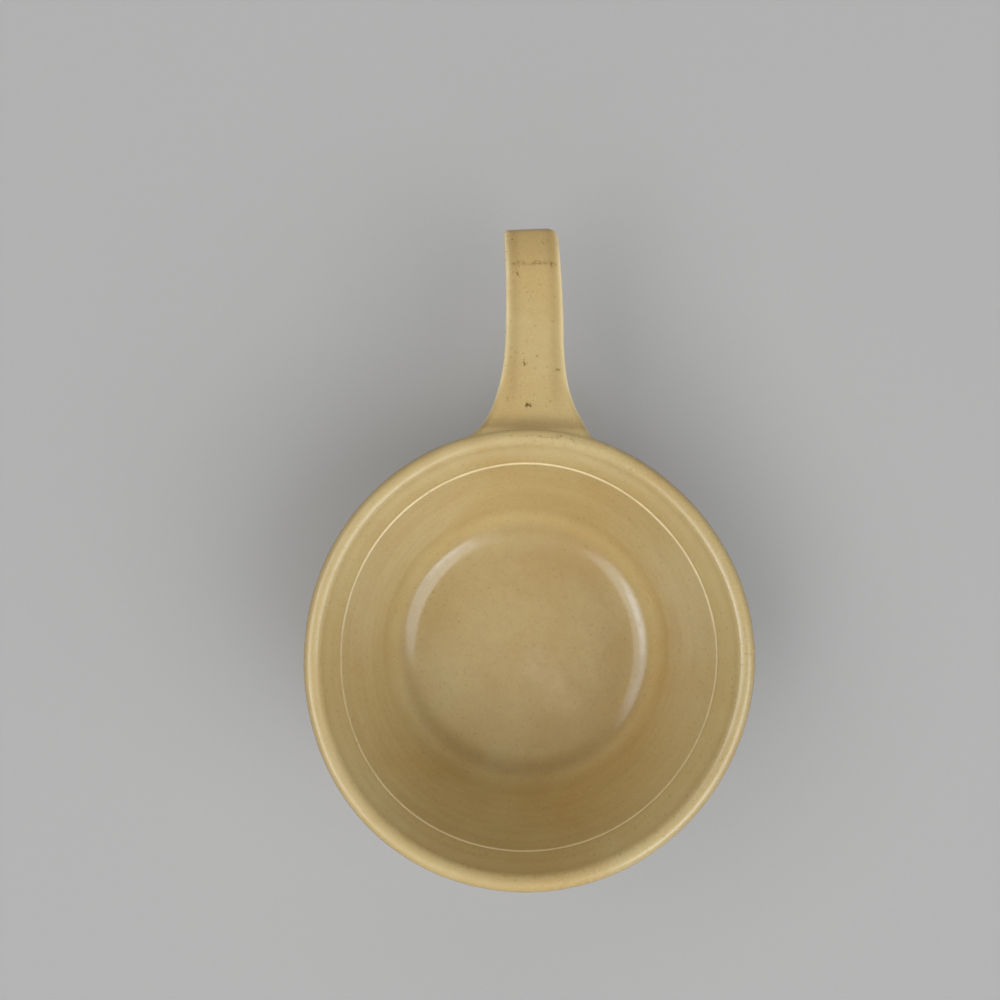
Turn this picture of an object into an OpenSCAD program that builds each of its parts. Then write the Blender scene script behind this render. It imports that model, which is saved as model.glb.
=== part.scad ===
// Glazed stoneware soup bowl with one long straight handle.
// Millimetres. Z is up, the bowl turns about Z, the foot stands on Z = 0 and
// the handle points along +Y. Outer sizes are those of the fired, glazed bowl.

/* [Bowl] */
// Outside diameter over the lip
bowl_d = 127; // [105:1:150]
// Height from the table to the top of the lip
bowl_h = 58; // [50:1:72]
// Thickness of the clay wall, square to its slope
wall_t = 4.9; // [3.6:0.1:5.6]
// Lean of the wall away from upright, in degrees
wall_lean = 17.8; // [15:0.1:26]
// Thickness of the clay floor
floor_t = 5.2; // [4:0.1:7]
// Radius of the bend between the inner floor and the wall
bend_r = 12; // [8:0.5:16]

/* [Lip] */
// Radius of the outer half of the rounded lip
lip_out_r = 2.7; // [2.3:0.1:3.6]
// Radius of the inner half of the rounded lip
lip_in_r = 2.9; // [2:0.1:3.4]
// How far the lip stands out past the slope of the outer wall
lip_proud = 1.5; // [0.8:0.1:2]
// Radius of the cove under the lip, outside
cove_r = 2.5; // [1.5:0.1:5]
// Depth of the turned line inside the bowl, below the top of the lip
line_drop = 9.5; // [8:0.1:12]
// Width of the little ledge that makes the turned line
line_w = 0.4; // [0.2:0.05:0.8]
// Lean of that band away from upright, in degrees
band_lean = 30; // [24:1:40]

/* [Foot] */
// Distance of the foot's outer side beyond the edge of the flat inner floor
foot_spread = 4.5; // [3:0.1:7]
// Width of the foot ring
foot_w = 4.5; // [3:0.1:6]
// Depth of the recess under the floor
foot_h = 4; // [2.5:0.1:5.5]
// Radius of the worn edges of the foot ring
foot_edge_r = 0.8; // [0.3:0.1:1.2]
// Radius of the fillet in the top of the recess
recess_r = 1; // [0.5:0.1:1.3]
// Height of the bare clay above the table
dry_h = 1.8; // [1.3:0.1:2.4]

/* [Handle] */
// Reach of the handle beyond the lip
handle_reach = 60.5; // [40:0.5:80]
// Width of the handle near its tip
tip_w = 15.8; // [11:0.1:19]
// Width of the handle where it starts to flare
neck_w = 16.9; // [12:0.1:20]
// Thickness of the handle near its tip
tip_t = 7.6; // [6:0.1:10]
// Thickness of the handle where it starts to flare
neck_t = 8.8; // [7:0.1:11]
// Drop of the handle's flat top below the top of the lip
top_drop = 3; // [2:0.1:4]
// Radius of the handle's long top edges
top_edge_r = 1.1; // [0.8:0.1:2.4]
// Radius of the handle's long lower edges
low_edge_r = 2.8; // [1.5:0.1:3.2]
// Radius round the end of the handle
tip_r = 2; // [1:0.1:2.6]
// Length of the end that droops
droop_l = 11; // [6:0.5:16]
// Angle of the droop at the very end, in degrees
droop_a = 20; // [8:1:30]

/* [Handle root] */
// Distance from the lip at which the handle starts to flare
flare_l = 29; // [20:0.5:34]
// Width of the flared root along the lip
root_w = 39.5; // [34:0.5:48]
// Way from the lip's top down its outside to the upper edge of the root
root_top = 2; // [1.6:0.1:4]
// Way from the lip's top down the outside to the lowest point of the root
root_low = 24; // [19:0.5:28]
// Radius of the root's upper corners
root_top_r = 4; // [3:0.1:6]
// Radius of the root's lower corners
root_low_r = 17; // [12:0.5:18]
// Greatest thickness of the slip that sticks the root to the wall
slip_t = 0.6; // [0.3:0.05:1]

/* [Glaze] */
// Thickness of the fired glaze
glaze_t = 0.3; // [0.2:0.05:0.5]

/* [Hidden] */
$fn = 144;

clay_colour = [0.80, 0.73, 0.62];
slip_colour = [0.70, 0.62, 0.50];
glaze_colour = [0.88, 0.79, 0.56];
base_colour = [0.84, 0.74, 0.50];

// Overrun of a cutter past what it cuts
over = 1.5;
// Clearances that keep the flat facets of the slip, and of the root's edge, out of
// the round wall
facet_gap = 0.12;
edge_gap = 0.04;
// Steps in each kind of curve
arc_steps = 8;
corner_steps = 3;
flat_steps = 7;
side_steps = 2;
flare_steps = 10;
shank_steps = 3;
droop_steps = 5;
tip_steps = 4;
cap_steps = 10;
// Share of the way from the turned line out to the lip that the sloping band takes
band_share = 0.5;
// Where the fillet lets go of the wall and of the shank, as shares of its way along
// the wall from the root's outline to where the straight handle would meet it
wall_hold_share = 0.55;
shank_hold_share = 0.95;
// Lift of the fillet off the wall, as a share of the way along the wall
wall_lift_share = 0.26;
// Share of the long edges' radius that is left on the end face
end_edge_share = 0.15;

// Plain helpers for points and outlines

function mix(a, b, t) = a + (b - a) * t;
function unit(v) = v / norm(v);
function dir(a) = [cos(a), sin(a)];
function flip(list) = [for (i = [len(list) - 1:-1:0]) list[i]];
function arc(c, r, from, to, n = arc_steps) = [for (i = [0:n]) c + r * dir(mix(from, to, i / n))];
function left(a, b) = let(d = unit(b - a)) [-d.y, d.x];

// A path moved sideways to its left by d, with mitred corners
function moved(path, d) = [
    for (i = [0:len(path) - 1])
        let(last = len(path) - 1,
            before = left(path[max(i - 1, 0)], path[max(i, 1)]),
            after = left(path[min(i, last - 1)], path[min(i + 1, last)]))
        path[i] + d * (before + after) / (1 + before * after)
];

// Distance run along a path at each of its points
function runs(path) = [
    for (i = 0, s = 0; i < len(path); i = i + 1, s = s + norm(path[min(i, len(path) - 1)] - path[i - 1])) s
];

// The bowl's outline, as [radius, height] over the glaze

rim_r = bowl_d / 2;
lip_out_c = [rim_r - lip_out_r, bowl_h - lip_out_r];
lip_in_c = [rim_r - lip_out_r, bowl_h - lip_in_r];
skin_t = wall_t + 2 * glaze_t;
floor_z = foot_h + floor_t + glaze_t;

// The turned line: the wall's top edge, a ledge, and the foot of the band
line_z = bowl_h - line_drop;
lip_to_wall = lip_proud - lip_out_r;
line_r = lip_out_c.x - (skin_t + lip_to_wall + (lip_out_c.y - line_z) * sin(wall_lean)) / cos(wall_lean);
wall_top = [line_r, line_z];
band_low = [line_r + line_w, line_z];
band_w = (lip_in_c.x - lip_in_r - band_low.x) * band_share;
band_top = band_low + band_w * [1, 1 / tan(band_lean)];
to_band = band_top - lip_in_c;
lip_start = atan2(to_band.y, to_band.x) + 360 - acos(lip_in_r / norm(to_band));

// The bend, placed so that it touches both the floor and the wall
bend_z = floor_z + bend_r;
wall_low = bend_z - bend_r * sin(wall_lean);
floor_r = line_r - (line_z - wall_low) * tan(wall_lean) - bend_r * cos(wall_lean);
bend_c = [floor_r, bend_z];
out_bend_r = bend_r + skin_t;

// The cove, touching the lip's outer half and the outer wall
cove_turn = acos((cove_r - lip_to_wall) / (lip_out_r + cove_r));
lip_end = -wall_lean - cove_turn;
cove_c = lip_out_c + (lip_out_r + cove_r) * dir(lip_end);

foot_r = floor_r + foot_spread;
foot_in_r = foot_r - foot_w;
foot_join = -acos(foot_spread / out_bend_r);

inner_skin = concat(
    [[0, floor_z]],
    arc(bend_c, bend_r, -90, -wall_lean),
    [wall_top, band_low, band_top],
    arc(lip_in_c, lip_in_r, lip_start, 90 + (lip_start - 90) / arc_steps, arc_steps - 1)
);
outer_skin = concat(
    arc(lip_out_c, lip_out_r, 90, lip_end, 2 * arc_steps),
    flip(arc(cove_c, cove_r, 180 - wall_lean, 180 + lip_end + cove_turn / arc_steps, arc_steps - 1)),
    arc(bend_c, out_bend_r, -wall_lean, foot_join),
    [[foot_r, dry_h]]
);
skin = concat(inner_skin, outer_skin);
clay = moved(skin, -glaze_t);

foot_path = concat(
    arc([foot_r - glaze_t - foot_edge_r, foot_edge_r], foot_edge_r, 0, -90, corner_steps),
    arc([foot_in_r + foot_edge_r, foot_edge_r], foot_edge_r, -90, -180, corner_steps)
);
base_path = concat(
    [[foot_in_r, dry_h]],
    arc([foot_in_r - recess_r, foot_h - recess_r], recess_r, 0, 90, corner_steps),
    [[0, foot_h]]
);

// The outside of the bowl as a surface: the way down from the top of the lip,
// the turn away from the handle's middle in degrees, and the height over the clay

way = runs(outer_skin);
outer_clay = [for (i = [0:len(outer_skin) - 1]) clay[len(inner_skin) + i]];
skin_at = [for (k = [0, 1]) [for (i = [0:len(way) - 1]) [way[i], outer_skin[i][k]]]];
clay_at = [for (k = [0, 1]) [for (i = [0:len(way) - 1]) [way[i], outer_clay[i][k]]]];
way_at_z = [for (i = [0:len(way) - 1]) [outer_skin[i].y, way[i]]];

function on_wall(s, turn, h) =
    let(r = mix(lookup(s, clay_at[0]), lookup(s, skin_at[0]), h / glaze_t),
        z = mix(lookup(s, clay_at[1]), lookup(s, skin_at[1]), h / glaze_t))
    [r * sin(turn), r * cos(turn), z];

// The handle, as rings of points from the root to the tip. In each function g is
// how far the surface lies under the finished glaze: 0, or glaze_t for the clay

function between(a, b, n) = [for (i = [1:n]) mix(a, b, i / (n + 1))];

// One cross-section as [x, z], from the middle of its top round by the left side
function section(half_w, top, low, top_r, low_r) =
    let(tr = [half_w - top_r, top - top_r], lr = [half_w - low_r, low + low_r],
        right_top = arc(tr, top_r, 0, 90, corner_steps),
        left_top = arc([-tr.x, tr.y], top_r, 90, 180, corner_steps),
        left_low = arc([-lr.x, lr.y], low_r, 180, 270, corner_steps),
        right_low = arc(lr, low_r, 270, 360, corner_steps))
    concat(
        left_top, between(left_top[corner_steps], left_low[0], side_steps),
        left_low, between(left_low[corner_steps], right_low[0], flat_steps),
        right_low, between(right_low[corner_steps], right_top[0], side_steps),
        right_top, between(right_top[corner_steps], left_top[0], flat_steps)
    );

top_z = bowl_h - top_drop;
neck_y = rim_r + flare_l;
droop_r = droop_l / (droop_a * PI / 180);
tip_y = rim_r + handle_reach - tip_r * (1 - sin(droop_a));
shank_l = tip_y - droop_r * sin(droop_a) - neck_y;
spine_l = shank_l + droop_l;

function droop_at(s) = max(s - shank_l, 0) / droop_l * droop_a;
function spine(s) = let(a = droop_at(s)) [neck_y + min(s, shank_l) + droop_r * sin(a), top_z - droop_r * (1 - cos(a))];

// A ring across the handle, s along it from the neck, drawn in by g all round and
// set forward by ahead, with its edges' radius scaled by edge_share
function ring(s, g, ahead = 0, edge_share = 1) =
    let(w = mix(neck_w, tip_w, s / spine_l), t = mix(neck_t, tip_t, s / spine_l),
        a = droop_at(s), p = spine(s))
    [for (q = section(w / 2 - g, -g, g - t, (top_edge_r - min(g, glaze_t)) * edge_share,
                      (low_edge_r - min(g, glaze_t)) * edge_share))
        [q.x, p.x + ahead * cos(a) + q.y * sin(a), p.y - ahead * sin(a) + q.y * cos(a)]];

// The root's outline on the bowl's outside, as [turn, way down]
root_ways = [for (q = section(root_w / 2, -root_top, -root_low, root_top_r, root_low_r))
    [q.x / rim_r * 180 / PI, -q.y]];
root_mid = [0, (root_top + root_low) / 2];

function root_ring(h, inwards = 0) =
    [for (q = root_ways) let(m = mix(q, root_mid, inwards)) on_wall(m.y, m.x, h)];
function root_centre(h) = on_wall(root_mid.y, root_mid.x, h);

function bezier(a, b, c, d, t) = let(u = 1 - t)
    u * u * u * a + 3 * u * u * t * b + 3 * u * t * t * c + t * t * t * d;

// The flare: from each point of the root's outline, along the wall towards where
// the straight handle would meet it, and out to the neck
function flare(g) =
    let(neck = ring(0, g), h = max(glaze_t - g, edge_gap))
    [for (j = [0:flare_steps - 1]) [for (i = [0:len(neck) - 1])
        let(n = neck[i], q = root_ways[i],
            meet_way = lookup(n.z, way_at_z),
            meet = [asin(n.x / lookup(meet_way, skin_at[0])), meet_way],
            lie = mix(q, meet, wall_hold_share),
            foot = on_wall(q.y, q.x, h),
            flat_p = on_wall(lie.y, lie.x, h),
            lifted = on_wall(lie.y, lie.x, h + wall_lift_share * norm(flat_p - foot)),
            root_p = on_wall(meet.y, meet.x, h),
            hold = [n.x, root_p.y + shank_hold_share * norm(root_p - foot), n.z])
        bezier(foot, lifted, hold, n, j / flare_steps)]];

function shank(g) = concat(
    [for (j = [0:shank_steps - 1]) ring(shank_l * j / shank_steps, g)],
    [for (j = [0:droop_steps - 1]) ring(shank_l + droop_l * j / droop_steps, g)]
);
function tip(g) = [
    for (j = [0:tip_steps])
        let(a = 90 * j / tip_steps, r = tip_r - g, in = r * (1 - cos(a)))
        ring(spine_l, g + in, r * sin(a), mix(1, end_edge_share, 1 - cos(a)))
];
function handle_rings(g) = concat(flare(g), shank(g), tip(g));
function middle(pts) = [for (i = [0:len(pts) - 1]) 1] * pts / len(pts);
function tip_centre(g) = middle(ring(spine_l, tip_r, tip_r - g, end_edge_share));

// The slip's thickness fades to nothing at the edge of the root
function slip_at(inwards) = slip_t * (1 - pow(1 - inwards, 4));

// Rings that fill the root's outline, from its middle outwards, h over the clay and
// raised by the slip if there is any
function cap(h, slip = false) = [
    for (j = [cap_steps - 1:-1:1]) root_ring(h + (slip ? slip_at(j / cap_steps) : 0), j / cap_steps)
];

// A closed skin over rings of points, from a first point to a last one
module closed_sweep(first, rings, last) {
    n = len(rings[0]);
    top = len(rings) * n;
    points = concat([for (r = rings) for (p = r) p], [first, last]);
    // Each four-cornered patch is cut along its shorter diagonal
    patches = [for (j = [0:len(rings) - 2]) for (i = [0:n - 1])
        let(a = j * n + i, b = j * n + (i + 1) % n, c = a + n, d = b + n)
        norm(points[b] - points[c]) < norm(points[a] - points[d])
            ? [[a, b, c], [b, d, c]]
            : [[a, b, d], [a, d, c]]];
    faces = concat(
        [for (i = [0:n - 1]) [top, (i + 1) % n, i]],
        [for (p = patches) for (f = p) f],
        [for (i = [0:n - 1]) [top + 1, top - n + i, top - n + (i + 1) % n]]
    );
    polyhedron(points, faces);
}

module bowl_body() {
    color(clay_colour)
        rotate_extrude() polygon(concat(clay, foot_path, [for (p = base_path) if (p.y > dry_h) p]));
}

module handle() {
    color(clay_colour)
        closed_sweep(root_centre(slip_t), concat(cap(0, true), handle_rings(glaze_t)), tip_centre(glaze_t));
}

module handle_slip() {
    color(slip_colour)
        closed_sweep(
            root_centre(facet_gap),
            concat(cap(facet_gap), [root_ring(edge_gap)], flip(cap(0, true))),
            root_centre(slip_t)
        );
}

// The window that the handle's root leaves in the bowl's glaze
module root_window() {
    under = -over;
    above = glaze_t + over;
    rings = concat(cap(under), [root_ring(under), root_ring(above)], flip(cap(above)));
    closed_sweep(root_centre(under), rings, root_centre(above));
}

module bowl_glaze() {
    color(glaze_colour)
        difference() {
            rotate_extrude() polygon(concat(skin, flip(clay)));
            root_window();
        }
}

module base_glaze() {
    color(base_colour)
        rotate_extrude() polygon(concat(base_path, flip(moved(base_path, glaze_t))));
}

module handle_glaze() {
    color(glaze_colour)
        closed_sweep(tip_centre(glaze_t), concat(flip(handle_rings(glaze_t)), handle_rings(0)), tip_centre(0));
}

bowl_body();
handle();
handle_slip();
bowl_glaze();
base_glaze();
handle_glaze();
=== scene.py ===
"""Looks of a glazed stoneware soup bowl with one long straight handle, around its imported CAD.

The bowl and the handle are modelled in millimetres, as one glaze coat over the clay, and are
scaled to metres when each mesh is made. Turn is the angle in degrees from the handle's middle,
and way is the distance down the bowl's outside from the top of the lip.
"""
import math

import bpy
import numpy as np
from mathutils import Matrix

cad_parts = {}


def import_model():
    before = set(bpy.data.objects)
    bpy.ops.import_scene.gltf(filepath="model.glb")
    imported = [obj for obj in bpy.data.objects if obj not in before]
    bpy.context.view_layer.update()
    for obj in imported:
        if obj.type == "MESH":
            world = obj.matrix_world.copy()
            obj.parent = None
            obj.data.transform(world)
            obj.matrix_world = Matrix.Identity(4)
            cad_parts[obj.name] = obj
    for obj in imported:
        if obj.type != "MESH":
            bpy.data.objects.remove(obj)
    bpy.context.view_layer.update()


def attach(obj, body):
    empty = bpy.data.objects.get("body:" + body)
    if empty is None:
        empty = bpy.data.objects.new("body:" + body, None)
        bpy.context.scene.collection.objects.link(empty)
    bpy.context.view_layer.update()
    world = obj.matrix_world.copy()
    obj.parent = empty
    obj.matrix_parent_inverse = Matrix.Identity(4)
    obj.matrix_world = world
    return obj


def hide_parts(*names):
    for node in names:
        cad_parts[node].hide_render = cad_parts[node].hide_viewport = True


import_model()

MM = 0.001

# Sizes of the CAD, in millimetres
BOWL_D, BOWL_H = 127.0, 58.0
WALL_T, WALL_LEAN = 4.9, 17.8
FLOOR_T, BEND_R = 5.2, 12.0
LIP_OUT_R, LIP_IN_R, LIP_PROUD, COVE_R = 2.7, 2.9, 1.5, 2.5
LINE_DROP, LINE_W, BAND_LEAN, BAND_SHARE = 9.5, 0.4, 30.0, 0.5
FOOT_SPREAD, FOOT_W, FOOT_H = 4.5, 4.5, 4.0
FOOT_EDGE_R, RECESS_R, DRY_H = 0.8, 1.0, 1.8
HANDLE_REACH, TIP_W, NECK_W, TIP_T, NECK_T = 60.5, 15.8, 16.9, 7.6, 8.8
TOP_DROP, TOP_EDGE_R, LOW_EDGE_R, TIP_R = 3.0, 1.1, 2.8, 2.0
DROOP_L, DROOP_A = 11.0, 20.0
FLARE_L, ROOT_W, ROOT_TOP, ROOT_LOW = 29.0, 39.5, 2.0, 24.0
ROOT_TOP_R, ROOT_LOW_R, SLIP_T, GLAZE_T = 4.0, 17.0, 0.6, 0.3
WALL_HOLD, SHANK_HOLD, WALL_LIFT, END_EDGE = 0.55, 0.95, 0.26, 0.15
TOP_HOLD, TOP_LIFT, RAMP_L = 0.9, 0.5, 4.0

# Rounding of the turned line's two corners
LINE_EDGE_R, LINE_FOOT_R = 0.22, 0.16

# Mesh density: columns round the bowl, and the spacing of its rows in millimetres
COLUMNS = 360
STEP_FLOOR, STEP_WALL, STEP_LIP, STEP_LINE = 1.4, 0.7, 0.28, 0.09
FLARE_STEPS, TIP_STEPS, CAP_STEPS = 36, 8, 8
STEP_SHANK = 0.6


# Small helpers for points in the plane

def smoothstep(a, b, x):
    t = np.clip((np.asarray(x, float) - a) / (b - a), 0, 1)
    return t * t * (3 - 2 * t)


def mix(a, b, t):
    return a + (b - a) * t


def arc(centre, radius, start, end, step):
    """Points of an arc, angles in degrees, about step apart."""
    n = max(2, int(np.ceil(abs(math.radians(end - start)) * radius / step)))
    a = np.radians(np.linspace(start, end, n + 1))
    return np.c_[centre[0] + radius * np.cos(a), centre[1] + radius * np.sin(a)]


def straight(a, b, step):
    n = max(1, int(np.ceil(np.hypot(*(np.subtract(b, a))) / step)))
    return np.linspace(a, b, n + 1)


def rounded(before, corner, after, radius, step):
    """The arc that rounds a corner between two straight runs."""
    u = np.subtract(before, corner)
    v = np.subtract(after, corner)
    u = u / np.hypot(*u)
    v = v / np.hypot(*v)
    half = math.acos(float(u @ v)) / 2
    centre = corner + (u + v) / np.hypot(*(u + v)) * radius / math.sin(half)
    a = corner + u * radius / math.tan(half)
    b = corner + v * radius / math.tan(half)
    start = math.degrees(math.atan2(*(a - centre)[::-1]))
    turn = math.degrees(math.atan2(*(b - centre)[::-1])) - start
    turn = (turn + 180) % 360 - 180
    return arc(centre, radius, start, start + turn, step)


def joined(*runs):
    """One path from several, without the doubled points where they meet."""
    path = [runs[0]]
    for run in runs[1:]:
        path.append(run[1:] if np.hypot(*(run[0] - path[-1][-1])) < 1e-6 else run)
    return np.vstack(path)


def way_along(path):
    return np.r_[0, np.cumsum(np.hypot(*np.diff(path, axis=0).T))]


def at_ways(path, way, wanted):
    return np.c_[np.interp(wanted, way, path[:, 0]), np.interp(wanted, way, path[:, 1])]


def drawn_in(path, g, reach=0.8):
    """A path moved sideways by g, to its right, along normals smoothed over a short reach."""
    way = way_along(path)
    d = at_ways(path, way, way + reach) - at_ways(path, way, way - reach)
    d /= np.hypot(*d.T)[:, None]
    return path + g * np.c_[d[:, 1], -d[:, 0]]


# The bowl's outline over the glaze, as [radius, height]

RIM_R = BOWL_D / 2
SKIN_T = WALL_T + 2 * GLAZE_T
FLOOR_Z = FOOT_H + FLOOR_T + GLAZE_T
LIP_OUT_C = np.array([RIM_R - LIP_OUT_R, BOWL_H - LIP_OUT_R])
LIP_IN_C = np.array([RIM_R - LIP_OUT_R, BOWL_H - LIP_IN_R])
LINE_Z = BOWL_H - LINE_DROP
LEAN = math.radians(WALL_LEAN)
LIP_TO_WALL = LIP_PROUD - LIP_OUT_R
LIP_TO_LINE = SKIN_T + LIP_TO_WALL + (LIP_OUT_C[1] - LINE_Z) * math.sin(LEAN)
LINE_R = LIP_OUT_C[0] - LIP_TO_LINE / math.cos(LEAN)
BEND_Z = FLOOR_Z + BEND_R
BEND_TO_LINE = LINE_Z - BEND_Z + BEND_R * math.sin(LEAN)
FLOOR_R = LINE_R - BEND_TO_LINE * math.tan(LEAN) - BEND_R * math.cos(LEAN)
OUT_BEND_R = BEND_R + SKIN_T
COVE_TURN = math.degrees(math.acos((COVE_R - LIP_TO_WALL) / (LIP_OUT_R + COVE_R)))
LIP_END = -WALL_LEAN - COVE_TURN
FOOT_R = FLOOR_R + FOOT_SPREAD
FOOT_IN_R = FOOT_R - FOOT_W
FOOT_JOIN = -math.degrees(math.acos(FOOT_SPREAD / OUT_BEND_R))


def inner_outline():
    """From the middle of the floor up to the top of the lip."""
    bend_c = [FLOOR_R, BEND_Z]
    bend = arc(bend_c, BEND_R, -90, -WALL_LEAN, STEP_WALL)
    top = np.array([LINE_R, LINE_Z])
    low = top + [LINE_W, 0]
    band = (LIP_IN_C[0] - LIP_IN_R - low[0]) * BAND_SHARE
    high = low + band * np.array([1, 1 / math.tan(math.radians(BAND_LEAN))])
    to_band = high - LIP_IN_C
    start = math.degrees(math.atan2(to_band[1], to_band[0])) + 360
    start -= math.degrees(math.acos(LIP_IN_R / np.hypot(*to_band)))
    edge = rounded(bend[-1], top, low, LINE_EDGE_R, STEP_LINE)
    foot = rounded(top, low, high, LINE_FOOT_R, STEP_LINE)
    lip = arc(LIP_IN_C, LIP_IN_R, start, 90, STEP_LIP)
    return joined(
        straight([0, FLOOR_Z], [FLOOR_R, FLOOR_Z], STEP_FLOOR), bend,
        straight(bend[-1], edge[0], STEP_WALL), edge,
        straight(edge[-1], foot[0], STEP_LINE), foot,
        straight(foot[-1], lip[0], STEP_LIP), lip,
    )


def outer_outline():
    """From the top of the lip down the outside to the glaze line."""
    lip = arc(LIP_OUT_C, LIP_OUT_R, 90, LIP_END, STEP_LIP)
    end = math.radians(LIP_END)
    cove_c = LIP_OUT_C + (LIP_OUT_R + COVE_R) * np.array([math.cos(end), math.sin(end)])
    cove = arc(cove_c, COVE_R, 180 + LIP_END, 180 - WALL_LEAN, STEP_LIP)
    bend = arc([FLOOR_R, BEND_Z], OUT_BEND_R, -WALL_LEAN, FOOT_JOIN, STEP_WALL)
    return joined(
        lip, cove, straight(cove[-1], bend[0], STEP_WALL), bend,
        straight(bend[-1], [FOOT_R, DRY_H], STEP_WALL),
    )


INNER = inner_outline()
OUTER = outer_outline()
SKIN = joined(INNER, OUTER)
TOP_ROW = len(INNER) - 1
WAY = way_along(OUTER)
SHEETS = {0.0: SKIN, GLAZE_T: drawn_in(SKIN, GLAZE_T)}


def on_wall(turn, way, g=0.0, lift=0.0):
    """Points on the bowl's outside, g under the finished glaze, with an optional lift off it."""
    rows = SHEETS[g][TOP_ROW:]
    r, z = at_ways(rows, WAY, way).T
    dr, dz = at_ways(np.gradient(rows, WAY, axis=0), WAY, way).T
    size = np.hypot(dr, dz)
    r = r - lift * dz / size
    z = z + lift * dr / size
    a = np.radians(turn)
    return np.stack([r * np.sin(a), r * np.cos(a), z], -1)


# The handle's cross-sections. Corner place runs from 0 at the middle of the top, by 1 and 2 at
# the ends of the upper corner and 3 and 4 at those of the lower one, to 5 at the middle below

def section(place, half_w, top, low, top_r, low_r):
    """Points [x, z] of the right half of a section at the given corner places."""
    p = np.clip(place, 0, 5)
    seg = np.minimum(p.astype(int), 4)
    t = p - seg
    upper = np.radians(90 * (1 - t))
    lower = np.radians(-90 * t)
    x = np.choose(seg, [
        t * (half_w - top_r), half_w - top_r + top_r * np.cos(upper), half_w + 0 * t,
        half_w - low_r + low_r * np.cos(lower), (half_w - low_r) * (1 - t),
    ])
    z = np.choose(seg, [
        top + 0 * t, top - top_r + top_r * np.sin(upper), mix(top - top_r, low + low_r, t),
        low + low_r + low_r * np.sin(lower), low + 0 * t,
    ])
    return x, z


# The hole that the grid of the bowl's outside leaves for the root: half its width in columns,
# and the ways of its upper and lower edges
HOLE_TURN = 24
HOLE_TOP, HOLE_LOW = 0.6, 29.0
# Rings of the patch between the hole's edge and the root
PATCH_STEPS = 9
ROOT_MID = np.array([0.0, (ROOT_TOP + ROOT_LOW) / 2])
# Lengths along half the root's outline that meet the ends of a section's corners: the low
# corner's first share runs into the handle's flat side and its last share under the handle
LOW_SHARES = (0.3, 0.65)


def root_outline():
    """Half the root's outline as [x, way], dense, with its corner place at each point."""
    arcs = ROOT_LOW_R * math.pi / 2
    corners = np.cumsum([0, ROOT_W / 2 - ROOT_TOP_R, ROOT_TOP_R * math.pi / 2])
    end = corners[2] + arcs + ROOT_W / 2 - ROOT_LOW_R
    anchors = [*corners, *(corners[2] + arcs * s for s in LOW_SHARES), end]
    place = np.linspace(0, 5, 2001)
    x, z = section(place, ROOT_W / 2, -ROOT_TOP, -ROOT_LOW, ROOT_TOP_R, ROOT_LOW_R)
    path = np.c_[x, -z]
    return path, np.interp(way_along(path), anchors, range(6))


def hole_loop():
    """The edge of the hole in the bowl's outside, as (row, column) pairs, clockwise."""
    first = TOP_ROW + int(np.searchsorted(WAY, HOLE_TOP))
    last = TOP_ROW + int(np.searchsorted(WAY, HOLE_LOW))
    turns = list(range(-HOLE_TURN, HOLE_TURN + 1))
    loop = [(first, t) for t in turns]
    loop += [(i, HOLE_TURN) for i in range(first + 1, last + 1)]
    loop += [(last, t) for t in turns[-2::-1]]
    loop += [(i, -HOLE_TURN) for i in range(last - 1, first, -1)]
    return first, last, loop


FIRST, LAST, LOOP = hole_loop()
LOOP_WAYS = np.array([
    [t * 360 / COLUMNS / 180 * math.pi * RIM_R, WAY[i - TOP_ROW]] for i, t in LOOP
])


def root_points():
    """For each point of the hole's edge, the root's point in line with it, and its corner place."""
    path, place = root_outline()
    rel = path - ROOT_MID
    angle = np.arctan2(rel[:, 0], -rel[:, 1])
    to = LOOP_WAYS - ROOT_MID
    want = np.arctan2(np.abs(to[:, 0]), -to[:, 1])
    side = np.where(to[:, 0] < 0, -1.0, 1.0)
    x = np.interp(want, angle, path[:, 0]) * side
    way = np.interp(want, angle, path[:, 1])
    return np.c_[x, way], np.interp(want, angle, place), side


ROOT, PLACE, SIDE = root_points()

TOP_Z = BOWL_H - TOP_DROP
NECK_Y = RIM_R + FLARE_L
DROOP_R = DROOP_L / math.radians(DROOP_A)
TIP_Y = RIM_R + HANDLE_REACH - TIP_R * (1 - math.sin(math.radians(DROOP_A)))
SHANK_L = TIP_Y - DROOP_R * math.sin(math.radians(DROOP_A)) - NECK_Y
SPINE_L = SHANK_L + DROOP_L

# Counts of the handle's rings: along the bar from the neck, up to the first of its end, and all
SHANK_STEPS = int(round(SPINE_L / STEP_SHANK))
END_RING = FLARE_STEPS + SHANK_STEPS
RINGS = END_RING + TIP_STEPS + CAP_STEPS - 1


def to_turn(points):
    """[x, way] on the outside to (turn, way)."""
    return np.degrees(points[:, 0] / RIM_R), points[:, 1]


def ring(along, g, ahead=0.0, edge=1.0):
    """One ring across the straight handle, along it from the neck, drawn in by g."""
    w = mix(NECK_W, TIP_W, along / SPINE_L)
    t = mix(NECK_T, TIP_T, along / SPINE_L)
    fall = math.radians(max(along - SHANK_L, 0) / DROOP_L * DROOP_A)
    y = NECK_Y + min(along, SHANK_L) + DROOP_R * math.sin(fall)
    z = TOP_Z - DROOP_R * (1 - math.cos(fall))
    under = min(g, GLAZE_T)
    top_r = (TOP_EDGE_R - under) * edge
    low_r = (LOW_EDGE_R - under) * edge
    x, h = section(PLACE, w / 2 - g, -g, g - t, top_r, low_r)
    return np.c_[
        x * SIDE,
        y + ahead * math.cos(fall) + h * math.sin(fall),
        z - ahead * math.sin(fall) + h * math.cos(fall),
    ]


def bezier(a, b, c, d, t):
    u = 1 - t
    return u ** 3 * a + 3 * u * u * t * b + 3 * u * t * t * c + t ** 3 * d


# The corner places between which the root passes from its top to its lower part
TOP_TO_LOW = (0.8, 1.7)
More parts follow.
